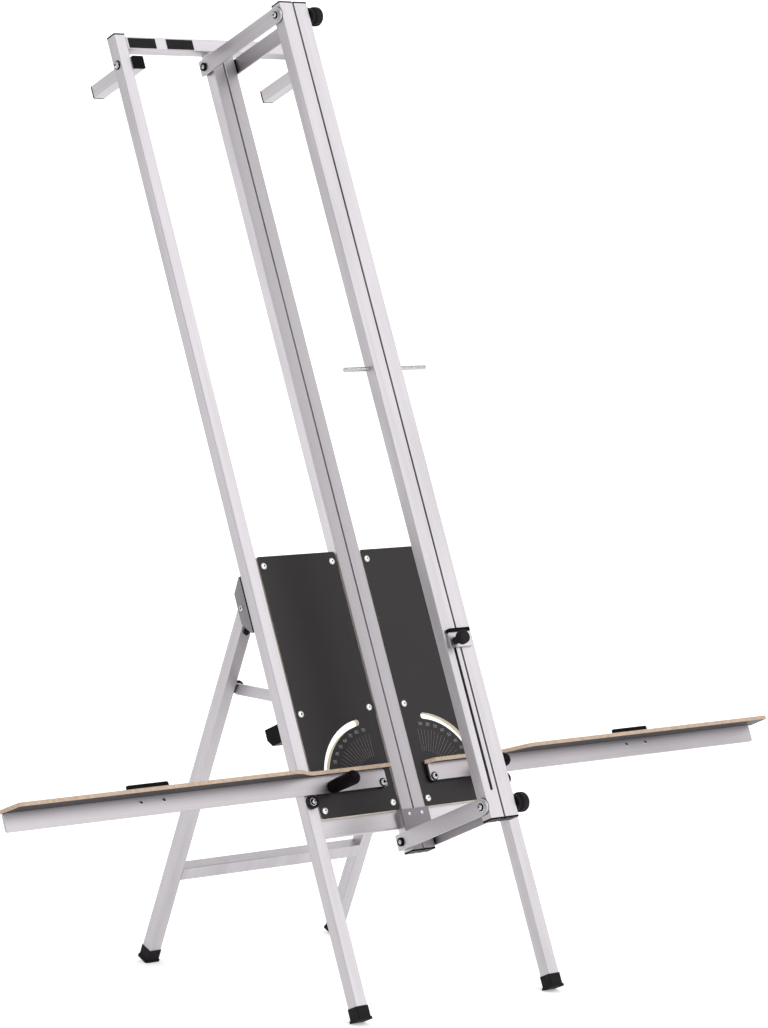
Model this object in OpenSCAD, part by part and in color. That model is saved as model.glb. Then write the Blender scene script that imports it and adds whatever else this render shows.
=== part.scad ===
// Cutting stand for insulation boards: a leaning ladder frame with a slotted rail, a second slotted rail
// on four parallel arms, two swivelling ledges, folding rear legs and two hooks. Millimetres, +Z up.
// The object rests on z = 0; x = 0 is the middle between the uprights; the front looks along -Y.

/* [Frame] */
// Backward lean of the uprights from the vertical, in degrees
lean = 24; // [22:0.5:26]
// Outer width over the two uprights
frame_w = 480; // [440:5:540]
// Length of an upright from its sole to the top of its cap
upright_l = 1874; // [1780:5:2000]
// Side of the square tube of uprights, legs and hooks
tube = 25; // [24:0.5:26]
// Wall of every tube
tube_wall = 1.8; // [1.5:0.1:2.2]
// Thickness of the end caps outside the tube
cap_t = 3; // [2:0.5:4]

/* [Rails] */
// Width over the two tubes of the rear rail
rear_rail_w = 55; // [53:1:58]
// Width over the two tubes of the front rail
front_rail_w = 65; // [63:1:68]
// Slit between the two tubes of a rail, in which the cutting tool runs
slit = 3; // [2:0.5:4]
// Clear depth between the two rails
cut_depth = 208; // [180:2:240]
// Height of the rear rail's lower end along the frame
rear_rail_low = 283; // [278:1:288]
// Height of the front rail's lower end along the frame
front_rail_low = 278; // [273:1:284]
// Height of the pull rod along the frame
rod_v = 1124; // [1000:10:1300]

/* [Arms] */
// Height of the lower arms' pivots along the frame
low_arm_v = 305; // [303:1:307]
// Width of an arm
arm_w = 30; // [26:1:32]
// Thickness of an arm
arm_t = 4; // [3:0.5:5]
// Diameter of the arm knobs
arm_knob_d = 36; // [32:1:40]

/* [Plates and wings] */
// Height of a plate along the frame
plate_h = 489.5; // [460:5:520]
// Height of the plates' lower edge along the frame
plate_v = 362; // [358:1:366]
// Thickness of the plates
ply_t = 9; // [8:0.5:10]
// Thickness of the ledges
ledge_t = 7; // [6:0.5:9]
// Distance of a wing's pivot from the middle
pivot_u = 61; // [59:0.5:63]
// Width of the arc slot
arc_w = 11.5; // [10:0.5:13]
// Distance of a wing's outer end from the middle
wing_u = 878; // [802:4:898]
// Height of a wing's flat bar
bar_h = 32; // [28:1:34]
// Depth of a ledge at its outer end
ledge_d = 46; // [40:1:50]

/* [Rear legs] */
// Angle of a rear leg from the vertical, in degrees
leg_tilt = 22.25; // [21:0.25:23]
// Height of the leg pivot along the frame
leg_v = 770; // [762:2:780]
// Distance from the leg pivot to the stud of the stay
stud_s = 167; // [160:1:174]
// Diameter of the stay knobs
stay_knob_d = 33; // [28:1:34]

/* [Hooks] */
// Length of a hook's tube
hook_l = 134.5; // [110.5:2:160.5]

/* [Hidden] */
$fn = 48;
over = 1;                                       // overrun of every cut
gap = 0.3;                                      // gap between neighbours that move
slip = 0.15;                                    // gap under a head that something turns under
run = 0.05;                                     // radial clearance of a pin in its bore
half = 1 / 2;
washer_share = 2;                               // washer's size in its bolt's size

tube_r = tube * 0.06;                           // corner radius of a tube
plug_l = tube * 0.5;
inner_u = frame_w / 2 - tube;
mid_u = frame_w / 2 - tube / 2;
floor_cut = 1.5;                                // depth of the flat worn on each sole's edge
foot_flare = 3;
foot_h = tube * 1.03;
sole_t = 5;

bolt_r = 4;
small_r = 2.5;
pin_r = 3;
leg_pin_r = 4;
nylon_t = 1.6;                                  // black washers of the rear arm bolts
join_t = 2;
join_h = 41;
join_rise = 68.5;                               // screws of the joining plate above the rail's end

rail_d = tube;
rear_tube_w = (rear_rail_w - slit) / 2;
front_tube_w = (front_rail_w - slit) / 2;
front_in_d = -cut_depth;                        // depths count backwards from the uprights' front face
front_out_d = front_in_d - rail_d;
bar_v = upright_l - tube - tube * 0.24;         // lower side of the top crossbar
front_rail_top = bar_v - cap_t;
high_arm_v = bar_v - tube * 1.04;
rear_pivot_d = tube / 2;
front_pivot_d = front_in_d - rail_d / 2;
arm_gap = 1.2;
arm_u = front_rail_w / 2 + arm_gap;             // inner face of an arm
arm_end = tube * 0.52;
arm_corner = 2;
spacer_corner = 1;
arm_knob_l = 27;
rod_u = [-90, 101];                             // ends of the pull rod

recess = 3;                                     // plate face behind the uprights' face
cross_d = recess + ply_t;                       // front face of the crossbars
plate_in_gap = 2.5;
plate_out_gap = 4;
plate_u = rear_rail_w / 2 + plate_in_gap;
plate_w = inner_u - plate_out_gap - plate_u;
plate_corner = 5;
row_inset = 11.5;
screw_r = 5;
low_cross_h = 60;
low_cross_drop = 32;
low_cross_v = plate_v - low_cross_drop;

pivot_rise = 51.5;
wing_v = plate_v + pivot_rise;                  // height of the wing pivots
arc_r = (inner_u - pivot_u) * 0.76;             // radius of the arc slot about the pivot
bar_t = 5;
bar_d = -2.2;                                   // back face of a wing's bar
bar_corner = 4;
bar_low = wing_v - bar_h * 0.234;
bar_in = 9;                                     // reach of a bar past its pivot
ledge_in_d = 16;
ledge_v = bar_low + bar_h;
left_ends = [12, [3, 3], 2, [10, 40]];          // ends of the ledges: reach and cut, inner and outer
right_ends = [2, [14, 14], 12, [1, 1]];
handle_rise = 2;
handle_a = asin(handle_rise / arc_r);
slot_angles = [-0.6, 81.2];
stop_u = pivot_u + (wing_u - pivot_u) * 0.623;  // middle of a back stop
stop_w = 90;
stop_rise = 17;                                 // reach of a back stop above the ledge
stop_edge = 4;
buffer_d = 24;
buffer_t = 8;
nut_washer_t = 2;
grip_l = 73;
grip_r = 13;
buffer_v = bar_low - gap - buffer_d / 2;

sin_l = sin(lean);
cos_l = cos(lean);
hook_v = high_arm_v - tube * 0.08;
hook_cap_t = 3.5;
hook_plug = 5;
hook_d = rear_pivot_d;                          // hinge of a hook
hook_in_u = inner_u - gap - tube;
hook_front_d = hook_d - tube * 0.54;
y_low = sin_l * front_rail_low + cos_l * front_out_d;
y_high = sin_l * (hook_v + tube / 2) + cos_l * (hook_front_d + hook_l + hook_cap_t);
y_zero = -(y_low + y_high) / 2;
z_zero = (tube + foot_flare) * sin_l - floor_cut;
function lean_y(v, d) = y_zero + sin_l * v + cos_l * d;
function lean_z(v, d) = z_zero + cos_l * v - sin_l * d;

leg_d = 44.5;                                   // leg pivot behind the uprights' face
leg_y = lean_y(leg_v, leg_d);
leg_z = lean_z(leg_v, leg_d);
cheek_t = 2.9;
leg_out_u = frame_w / 2 - cheek_t - gap;
leg_in_u = leg_out_u - tube;
leg_mid_u = leg_out_u - tube / 2;
leg_l = (leg_z + floor_cut - (tube / 2 + foot_flare) * sin(leg_tilt)) / cos(leg_tilt);
stud_y = leg_y + stud_s * sin(leg_tilt);
stud_z = leg_z - stud_s * cos(leg_tilt);
stay_d = 38;                                    // stay pivot behind the uprights' face
stay_v = (stud_z - z_zero + sin_l * stay_d) / cos_l;
stay_y = lean_y(stay_v, stay_d);
row_v = [plate_v + plate_h * 0.03, stay_v - tube * 1.7, plate_v + plate_h * 0.9633];  // rows of plate screws
stay_t = 5;
stay_h = 20;
stay_corner = 4;
stay_end = 12;                                  // reach of a stay past its stud
stud_head_t = 2;
stud_reach = 9;
stay_knob_l = 15;
stay_knob_bore = 11;
stay_washer = 3.2;
stay_u = leg_in_u - stay_washer - gap;          // outer face of a stay
bracket_t = 3;
shim_t = 3;
stay_screw_d = tube * 0.76;                     // screws of a stay's bracket, behind the plate
hinge_h = 105;
hinge_v = leg_v + hinge_h * 0.515;              // top of a hinge bracket
base_d = tube + shim_t;
cross_s = leg_l * 0.7454;                       // rear crossbar below the leg pivot
bumper_s = 42;
bumper_t = 4;
bumper_r = 5.8;
clip_v = leg_v * 0.6675;                        // lower side of a leg clip

slider_v = 592;
slider_h = 25;
slider_u = [-30, 28];
slider_t = 6;
slider_corner = 2;
slider_nut_t = 4;
slider_knob_d = 25;
slider_knob_l = 29;
strip_h = 8;
strip_reach = 3;                                // strip in front of the block
strip_side = 2;                                 // strip past the block's sides
strip_corner = 1.5;
knob_u = -14.5;
slot_w = 6;
slot_low = 330;
slot_high = slider_v + slider_h * 0.72;

alu = [0.80, 0.80, 0.82];
black = [0.07, 0.07, 0.08];
film = [0.12, 0.09, 0.08];
steel = [0.62, 0.63, 0.65];

// Frames of reference: the leaning frame (x, depth, height along the uprights) and the legs' own frame
module leaning() translate([0, y_zero, z_zero]) rotate([-lean, 0, 0]) children();
module on_leg() translate([0, leg_y, leg_z]) rotate([leg_tilt, 0, 0]) children();
module both_sides()
{
  children();
  mirror([1, 0, 0]) children();
}

// Lays a flat shape (x, height) upright, from depth d to d + t
module upright_plane(d, t) translate([0, d + t, 0]) rotate([90, 0, 0]) linear_extrude(t) children();
// Lays a flat shape (depth, height) across, from x = u to u + t
module side_plane(u, t) translate([u, 0, 0]) rotate([90, 0, 90]) linear_extrude(t) children();
// Cylinder along X from x = u, centred on depth d and height v
module x_rod(u, length, r, d, v) translate([u, d, v]) rotate([0, 90, 0]) cylinder(length, r, r);
// Cylinder along the depth from depth d towards the back
module y_rod(u, v, d, length, r) translate([u, d, v]) rotate([-90, 0, 0]) cylinder(length, r, r);

module round_rect(w, h, r)
{
  square([w - 2 * r, h], center = true);
  square([w, h - 2 * r], center = true);
  for (x = [-1, 1], y = [-1, 1]) translate([x * (w / 2 - r), y * (h / 2 - r)]) circle(r);
}

// Hollow tube standing on z = 0 with its section w x h centred on the axis
module tube_bar(length, w, h)
{
  linear_extrude(length) difference()
  {
    round_rect(w, h, tube_r);
    square([w - 2 * tube_wall, h - 2 * tube_wall], center = true);
  }
}

// End cap with its plate from z = 0 to t and its plug below
module end_cap(w, h, t)
{
  translate([0, 0, t / 2]) linear_extrude(t, center = true) round_rect(w, h, tube_r);
  translate([0, 0, -plug_l]) linear_extrude(plug_l)
    square([w - 2 * tube_wall - gap, h - 2 * tube_wall - gap], center = true);
}

// Rubber foot: flared sole, sleeve round the tube, its tube's end standing on the sole
module foot()
{
  sleeve = tube + foot_flare;
  linear_extrude(sole_t) round_rect(tube + 2 * foot_flare, tube + 2 * foot_flare, tube_r * 2);
  translate([0, 0, sole_t]) linear_extrude(foot_h - sole_t) difference()
  {
    round_rect(sleeve, sleeve, tube_r * 2);
    round_rect(tube, tube, tube_r);
  }
}

// Bolt along +Z: its head bears on z = 0, its nut on z = -grip
module bolt(r, grip, washer)
{
  bolt_back(r, grip, washer);
  translate([0, 0, r * 0.4]) cylinder(r * 1.2, r * 1.87, r * 1.87, $fn = 6);
}

// Shank, washers and nut of a bolt
module bolt_back(r, grip, washer)
{
  nut_h = 1.5 * r;
  washer_t = 0.4 * r;
  translate([0, 0, -grip - washer_t - nut_h - r * half]) cylinder(grip + washer_t + nut_h + r, r, r);
  cylinder(washer_t, washer * r, washer * r);
  translate([0, 0, -grip - washer_t]) cylinder(washer_t, washer * r, washer * r);
  translate([0, 0, -grip - washer_t - nut_h]) cylinder(nut_h, r * 1.87, r * 1.87, $fn = 6);
}

// Bolt with a low domed head and a six-sided socket
module socket_bolt(r, grip)
{
  head_shares = [[0, 0], [1.66, 0], [1.66, 0.62], [1.5, 0.9], [1.2, 1.1], [0, 1.1]];
  bolt_back(r, grip, washer_share);
  difference()
  {
    rotate_extrude() polygon([for (p = head_shares) p * r]);
    translate([0, 0, r * 0.7]) cylinder(r, r * 0.72, r * 0.72, $fn = 6);
  }
}

// Pan head screw along +Z with a crossed recess, its head on z = 0
module pan_screw(r, length)
{
  recess_w = r * 0.22;
  difference()
  {
    union()
    {
      cylinder(r * 0.28, r, r);
      translate([0, 0, r * 0.28]) cylinder(r * 0.24, r, r * 0.6);
      translate([0, 0, -length]) cylinder(length + over * half, r * half, r * half);
    }
    for (a = [0, 90]) rotate([0, 0, a]) translate([0, 0, r * 0.42])
      cube([r * 1.1, recess_w, r * half], center = true);
  }
}

// Ladder frame
module upright()
{
  difference()
  {
    translate([mid_u, tube / 2, sole_t]) tube_bar(upright_l - sole_t - cap_t, tube, tube);
    x_rod(inner_u - over, tube + 2 * over, bolt_r + run, hook_d, hook_v);
    y_rod(mid_u, buffer_v, -over, tube_wall + 2 * over, bolt_r + run);
    for (v = hinge_screw_v()) y_rod(leg_mid_u, v, tube - tube_wall - over, tube_wall + 2 * over, small_r + run);
    for (v = stay_screw_v()) x_rod(inner_u - over, tube_wall + 2 * over, small_r + run, stay_screw_d, v);
  }
}
function hinge_screw_v() = [hinge_v - hinge_h * 0.085, hinge_v - hinge_h * 0.26];
function stay_screw_v() = [stay_v - stay_h * 0.45, stay_v + stay_h * 0.45];

module left_upright() color(alu) leaning() mirror([1, 0, 0]) upright();
module right_upright() color(alu) leaning() upright();

module end_caps() color(black) leaning()
{
  both_sides() translate([mid_u, tube / 2, upright_l - cap_t]) end_cap(tube, tube, cap_t);
  both_sides() translate([(slit + rear_tube_w) / 2, rail_d / 2, rear_rail_low + cap_t]) mirror([0, 0, 1])
    end_cap(rear_tube_w, rail_d, cap_t);
}

module front_feet() color(black) difference()
{
  leaning() both_sides() translate([mid_u, tube / 2, 0]) foot();
  translate([-frame_w, y_zero - tube * 2, -tube * 2]) cube([frame_w * 2, tube * 6, tube * 2]);
}

module top_crossbar() color(alu) leaning()
  translate([-inner_u, tube / 2, bar_v + tube / 2]) rotate([0, 90, 0]) tube_bar(inner_u * 2, tube, tube);

module rear_tube() difference()
{
  translate([(slit + rear_tube_w) / 2, rail_d / 2, rear_rail_low + cap_t])
    tube_bar(bar_v - rear_rail_low - cap_t, rear_tube_w, rail_d);
  for (v = [low_arm_v, high_arm_v]) x_rod(0, rear_rail_w, bolt_r + run, rear_pivot_d, v);
  y_rod((slit + rear_tube_w) / 2, join_v(), -over, tube_wall + 2 * over, small_r * half + run);
}
function join_v() = rear_rail_low + join_rise;

module rear_rail_left() color(alu) leaning() mirror([1, 0, 0]) rear_tube();
module rear_rail_right() color(alu) leaning() rear_tube();

module rail_joining_plate() color(alu) leaning() difference()
{
  upright_plane(-join_t, join_t) translate([0, join_v() - join_h * 0.27])
    square([rear_rail_w * 1.16, join_h], center = true);
  both_sides()
    y_rod((slit + rear_tube_w) / 2, join_v(), -join_t - over, join_t + 2 * over, small_r * half + run);
}

module frame_screws() color(steel) leaning() both_sides()
{
  for (v = row_v, u = row_u())
    translate([u, recess, v]) rotate([90, 0, 0]) pan_screw(screw_r, ply_t + tube_wall);
  translate([(slit + rear_tube_w) / 2, -join_t, join_v()]) rotate([90, 0, 0])
    pan_screw(small_r, tube_wall + join_t);
  for (v = hinge_screw_v()) translate([leg_mid_u, base_d + cheek_t, v]) rotate([-90, 0, 0])
    pan_screw(small_r * 2, cheek_t + shim_t + tube_wall);
  for (v = stay_screw_v()) translate([inner_u - bracket_t, stay_screw_d, v]) rotate([0, -90, 0])
    pan_screw(small_r * 2, bracket_t + tube_wall);
}

// Plates, with an arc slot about each wing's pivot
function row_u() = [plate_u + row_inset, plate_u + plate_w - row_inset];
function on_circle(r, a) = r * [cos(a), sin(a)];
function arc_points(r, a0, a1, steps) = [for (i = [0:steps]) on_circle(r, a0 + (a1 - a0) * i / steps)];
function end_points(a, turn) =
  [for (p = arc_points(arc_w / 2, a + turn, a + turn + 180, 12)) p + on_circle(arc_r, a)];
module arc_slot()
{
  a = slot_angles;
  translate([pivot_u, wing_v]) polygon(concat(
    arc_points(arc_r + arc_w / 2, a[0] + 1, a[1] - 1, 40), end_points(a[1], 0),
    arc_points(arc_r - arc_w / 2, a[1] - 1, a[0] + 1, 40), end_points(a[0], 180)
  ));
}

module plate() difference()
{
  upright_plane(recess, ply_t) difference()
  {
    translate([plate_u + plate_w / 2, plate_v + plate_h / 2]) round_rect(plate_w, plate_h, plate_corner);
    arc_slot();
  }
  for (v = row_v, u = row_u())
    y_rod(u, v, recess - over, ply_t + 2 * over, screw_r * half + run);
  y_rod(pivot_u, wing_v, recess - over, ply_t + 2 * over, bolt_r + run);
}
module left_plate() color(film) leaning() mirror([1, 0, 0]) plate();
module right_plate() color(film) leaning() plate();

module plate_crossbars() color(alu) leaning() both_sides() difference()
{
  union()
  {
    for (i = [1, 2]) cross_half(row_v[i], tube);
    cross_half(low_cross_v + low_cross_h / 2, low_cross_h);
  }
  for (v = row_v, u = row_u())
    y_rod(u, v, cross_d - over, tube_wall + 2 * over, screw_r * half + run);
}
module cross_half(v, h) translate([rear_rail_w / 2, (cross_d + tube) / 2, v]) rotate([0, 90, 0])
  tube_bar(inner_u - rear_rail_w / 2, h, tube - cross_d);

module wing_buffers() color(black) leaning() both_sides() difference()
{
  y_rod(mid_u, buffer_v, -buffer_t, buffer_t, buffer_d / 2);
  y_rod(mid_u, buffer_v, -buffer_t - over, buffer_t * 0.4 + over, buffer_d * 0.36);
  y_rod(mid_u, buffer_v, -buffer_t - over, buffer_t + 2 * over, bolt_r + run);
}

module upright_bolts() color(steel) leaning() both_sides()
{
  translate([mid_u, -buffer_t * 0.6, buffer_v]) rotate([90, 0, 0])
  {
    cylinder(bolt_r * 0.4, bolt_r * washer_share, bolt_r * washer_share);
    translate([0, 0, bolt_r * 0.4]) cylinder(bolt_r * 1.2, bolt_r * 1.87, bolt_r * 1.87, $fn = 6);
    translate([0, 0, -buffer_t * 0.6 - tube * half])
      cylinder(buffer_t * 0.6 + tube * half + over, bolt_r, bolt_r);
  }
  translate([frame_w / 2, hook_d, hook_v]) rotate([0, 90, 0])
    bolt(bolt_r, frame_w / 2 - hook_in_u + slip, washer_share);
}

module wing_pivot_bolts() color(steel) leaning() both_sides()
  translate([pivot_u, bar_d - bar_t - slip, wing_v]) rotate([90, 0, 0])
    socket_bolt(bolt_r, cross_d - bar_d + bar_t + slip);

module black_spacers() color(black) leaning() both_sides()
{
  difference()
  {
    y_rod(pivot_u, wing_v, bar_d + slip, recess - bar_d - slip, bolt_r * 2.4);
    y_rod(pivot_u, wing_v, bar_d - over, recess - bar_d + 2 * over, bolt_r + run);
  }
  for (v = [low_arm_v, high_arm_v]) difference()
  {
    side_plane(rear_rail_w / 2, arm_u - slip - rear_rail_w / 2) translate([rear_pivot_d, v])
      round_rect(rail_d * 0.72, arm_w * 0.9, spacer_corner);
    x_rod(rear_rail_w / 2 - over, arm_u, bolt_r + run, rear_pivot_d, v);
  }
  for (v = [low_arm_v, high_arm_v]) difference()
  {
    x_rod(arm_u + arm_t + slip, nylon_t, bolt_r * washer_share, rear_pivot_d, v);
    x_rod(arm_u, arm_t * 2 + nylon_t, bolt_r + run, rear_pivot_d, v);
  }
  difference()
  {
    translate([mid_u, tube + shim_t / 2, hinge_v - hinge_h / 2]) cube([tube, shim_t, hinge_h], center = true);
    for (v = hinge_screw_v()) y_rod(leg_mid_u, v, tube - over, shim_t + 2 * over, small_r + run);
  }
  difference()
  {
    x_rod(stay_u + slip, inner_u - bracket_t - stay_u - slip, pin_r * 2.5, stay_d, stay_v);
    x_rod(stay_u - over, inner_u - stay_u, pin_r + run, stay_d, stay_v);
  }
}

module rear_arm_bolts() color(steel) leaning() for (v = [low_arm_v, high_arm_v])
  translate([-arm_u - arm_t - slip - nylon_t, rear_pivot_d, v]) rotate([0, -90, 0])
    bolt(bolt_r, 2 * (arm_u + arm_t + slip + nylon_t), washer_share * 0.8);

// Hinge brackets of the legs: channels with five-sided cheeks
module hinge_brackets() color(alu) leaning() both_sides() difference()
{
  union()
  {
    side_plane(frame_w / 2 - cheek_t, cheek_t) cheek();
    side_plane(leg_in_u - gap - cheek_t, cheek_t) cheek();
    translate([leg_in_u - gap - cheek_t, base_d, hinge_v - hinge_h])
      cube([frame_w / 2 - leg_in_u + gap + cheek_t, cheek_t, hinge_h]);
  }
  x_rod(leg_in_u - tube, tube * 4, leg_pin_r + run, leg_d, leg_v);
  for (v = hinge_screw_v()) y_rod(leg_mid_u, v, base_d - over, cheek_t + 2 * over, small_r + run);
}
module cheek()
{
  back = leg_d + leg_pin_r * 2.38;
  translate([0, hinge_v]) polygon([
    [base_d, 0], [base_d + cheek_t, 0], [back, -hinge_h * 0.23], [back, -hinge_h * 0.77],
    [base_d + cheek_t * 3, -hinge_h * 0.96], [base_d + cheek_t, -hinge_h], [base_d, -hinge_h]
  ]);
}

module leg_pivot_bolts() color(steel) leaning() both_sides()
{
  translate([frame_w / 2, leg_d, leg_v]) rotate([0, 90, 0])
    bolt(leg_pin_r, frame_w / 2 - leg_in_u + gap + cheek_t, washer_share);
  // Pin of the stay, riveted low in its bracket
  x_rod(inner_u, pin_r * half, pin_r * 2, stay_d, stay_v);
  x_rod(stay_u - stay_t - slip - over * half, inner_u - stay_u + stay_t + slip + over, pin_r, stay_d, stay_v);
  x_rod(stay_u - stay_t - slip - pin_r, pin_r, pin_r * 1.65, stay_d, stay_v);
}

module stay_brackets() color(alu) leaning() both_sides() difference()
{
  side_plane(inner_u - bracket_t, bracket_t)
  {
    translate([recess, stay_v - stay_h * 0.75]) square([stay_d - recess - stay_h * 0.25, stay_h * 1.5]);
    translate([stay_d, stay_v]) circle(pin_r * 2.1);
    translate([stay_d - stay_h * 0.5, stay_v - pin_r * 2.1]) square([stay_h * half, pin_r * 4.2]);
  }
  x_rod(inner_u - bracket_t - over, bracket_t + 2 * over, pin_r + run, stay_d, stay_v);
  for (v = stay_screw_v())
    x_rod(inner_u - bracket_t - over, bracket_t + 2 * over, small_r + run, stay_screw_d, v);
}

// Clip for the folded leg: a block on the upright with two cheeks
module leg_clips() color(black) leaning() both_sides()
{
  depth = tube * 1.52;
  clip_h = tube * 1.32;
  clip_u = leg_in_u - gap - cheek_t;
  difference()
  {
    side_plane(clip_u, frame_w / 2 - clip_u) polygon([
      [tube, clip_v], [tube + depth * 0.7, clip_v], [tube + depth, clip_v + clip_h * 0.4],
      [tube + depth, clip_v + clip_h], [tube, clip_v + clip_h]
    ]);
    translate([leg_in_u - gap, tube + depth * 0.72, clip_v - over])
      cube([tube + 2 * gap, depth, clip_h + 2 * over]);
  }
}

// Wings, modelled on the right side
module wing_bar() difference()
{
  upright_plane(bar_d - bar_t, bar_t) translate([(pivot_u - bar_in + wing_u) / 2, bar_low + bar_h / 2])
    round_rect(wing_u - pivot_u + bar_in, bar_h, bar_corner);
  y_rod(pivot_u, wing_v, bar_d - bar_t - over, bar_t + 2 * over, bolt_r + run);
  y_rod(handle_u(), handle_v(), bar_d - bar_t - over, bar_t + 2 * over, bolt_r + run);
  for (u = stop_screw_u())
    y_rod(u, bar_low + bar_h * 0.7, bar_d - bar_t - over, bar_t + 2 * over, small_r * 0.8 + run);
}
function handle_u() = pivot_u + arc_r * cos(handle_a);
function handle_v() = wing_v + arc_r * sin(handle_a);
function stop_screw_u() = [stop_u - stop_w * 0.256, stop_u + stop_w * 0.289];
function stop_top_v() = ledge_v + ledge_t + stop_rise;

// Ledge: shallow at the frame, deep outside it, with an S-curve between; its ends reach past the bar's
// ends, and each end's front corner is cut off by so much along and so much across
module ledge(ends)
{
  reach_in = ends[0];
  cut_in = ends[1];
  reach_out = ends[2];
  cut_out = ends[3];
  steps = 20;
  swell = ledge_d - ledge_in_d;
  curve_l = 70;
  u_in = pivot_u - bar_in - reach_in;
  u_out = wing_u + reach_out;
  translate([0, bar_d, ledge_v]) linear_extrude(ledge_t) mirror([0, 1]) polygon(concat(
    [[u_in, 0], [u_in, ledge_in_d - cut_in[1]], [u_in + cut_in[0], ledge_in_d]],
    [for (i = [0:steps]) [inner_u + curve_l * i / steps, ledge_in_d + swell * (1 - cos(180 * i / steps)) / 2]],
    [[u_out - cut_out[0], ledge_d], [u_out, ledge_d - cut_out[1]], [u_out, 0]]
  ));
}

module back_stop() difference()
{
  upright_plane(bar_d, -bar_d - gap)
    translate([stop_u, (stop_top_v() + bar_low + stop_edge) / 2])
      round_rect(stop_w, stop_top_v() - bar_low - stop_edge, stop_edge);
  for (u = stop_screw_u())
    y_rod(u, bar_low + bar_h * 0.7, bar_d - over, -bar_d + 2 * over, small_r * 0.8 + run);
}

module wing_fixings()
{
  for (u = stop_screw_u()) translate([u, bar_d - bar_t, bar_low + bar_h * 0.7]) rotate([90, 0, 0])
    pan_screw(small_r * 1.6, bar_t - bar_d - gap);
  difference()
  {
    translate([handle_u(), cross_d + slip, handle_v()]) rotate([-90, 0, 0])
    {
      cylinder(nut_washer_t, bolt_r * 2.4, bolt_r * 2.4);
      cylinder(bolt_r * 2, bolt_r * 1.87, bolt_r * 1.87, $fn = 6);
    }
    y_rod(handle_u(), handle_v(), cross_d - over, bolt_r * 4, bolt_r + run);
  }
}

// Lock handle: tapered grip with a domed end and a ring groove, on a stud
module lock_handle()
{
  stud_l = cross_d + bar_t - bar_d + bolt_r * 3;
  grip_shares = [
    [0, 0], [0.88, 0], [0.88, 0.03], [0.74, 0.03], [0.74, 0.055], [0.92, 0.07], [1, 0.78], [0.91, 0.8],
    [0.91, 0.83], [1, 0.85]
  ];
  translate([handle_u(), bar_d - bar_t - slip, handle_v()]) rotate([90, 0, 0])
  {
    translate([0, 0, -stud_l]) cylinder(stud_l + over, bolt_r, bolt_r);
    rotate_extrude() polygon(concat(
      [for (p = grip_shares) [p[0] * grip_r, p[1] * grip_l]],
      [for (a = [0:10:90]) [grip_r * cos(a), grip_l * 0.88 + grip_r * 0.65 * sin(a)]]
    ));
  }
}

module left_wing_bar() color(alu) leaning() mirror([1, 0, 0]) wing_bar();
module left_ledge() color(film) leaning() mirror([1, 0, 0]) ledge(left_ends);
module left_back_stop() color(black) leaning() mirror([1, 0, 0]) back_stop();
module left_wing_fixings() color(steel) leaning() mirror([1, 0, 0]) wing_fixings();
module right_wing_bar() color(alu) leaning() wing_bar();
module right_ledge() color(film) leaning() ledge(right_ends);
module right_back_stop() color(black) leaning() back_stop();
module right_wing_fixings() color(steel) leaning() wing_fixings();
module left_lock_handle() color(black) leaning() mirror([1, 0, 0]) lock_handle();
module right_lock_handle() color(black) leaning() lock_handle();

// Arms and front rail
module arm(v) difference()
{
  side_plane(arm_u, arm_t)
  {
    translate([front_pivot_d, v - arm_w / 2])
      square([rear_pivot_d - front_pivot_d + arm_end - arm_corner, arm_w]);
    translate([front_pivot_d, v - arm_w / 2 + arm_corner])
      square([rear_pivot_d - front_pivot_d + arm_end, arm_w - 2 * arm_corner]);
    translate([front_pivot_d, v]) circle(arm_w / 2);
    for (s = [-1, 1]) translate([rear_pivot_d + arm_end - arm_corner, v + s * (arm_w / 2 - arm_corner)])
      circle(arm_corner);
  }
  for (d = [front_pivot_d, rear_pivot_d]) x_rod(arm_u - over, arm_t + 2 * over, bolt_r + run, d, v);
}
module top_left_arm() color(alu) leaning() mirror([1, 0, 0]) arm(high_arm_v);
module top_right_arm() color(alu) leaning() arm(high_arm_v);
module bottom_left_arm() color(alu) leaning() mirror([1, 0, 0]) arm(low_arm_v);
module bottom_right_arm() color(alu) leaning() arm(low_arm_v);

module front_tube() difference()
{
  translate([(slit + front_tube_w) / 2, front_pivot_d, front_rail_low + cap_t])
    tube_bar(front_rail_top - front_rail_low - cap_t * 2, front_tube_w, rail_d);
  for (v = [low_arm_v, high_arm_v]) x_rod(0, front_rail_w, bolt_r + run, front_pivot_d, v);
  x_rod(0, front_rail_w, bolt_r + run, rod_d(), rod_v);
}
function rod_d() = front_pivot_d + rail_d * 0.1;

module front_rail_left() color(alu) leaning() difference()
{
  mirror([1, 0, 0]) front_tube();
  upright_plane(front_out_d - over, tube_wall + 2 * over)
    translate([knob_u, (slot_low + slot_high) / 2]) round_rect(slot_w, slot_high - slot_low, slot_w * 0.49);
}
module front_rail_right() color(alu) leaning() front_tube();

module front_rail_caps() color(black) leaning() both_sides()
  translate([(slit + front_tube_w) / 2, front_pivot_d, 0])
{
  translate([0, 0, front_rail_top - cap_t]) end_cap(front_tube_w, rail_d, cap_t);
  translate([0, 0, front_rail_low + cap_t]) mirror([0, 0, 1]) end_cap(front_tube_w, rail_d, cap_t);
}

module front_arm_spacers() color(black) leaning() both_sides() for (v = [low_arm_v, high_arm_v]) difference()
{
  x_rod(front_rail_w / 2, arm_gap - slip, arm_w / 2, front_pivot_d, v);
  x_rod(front_rail_w / 2 - over, arm_gap + 2 * over, bolt_r + run, front_pivot_d, v);
}

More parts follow.
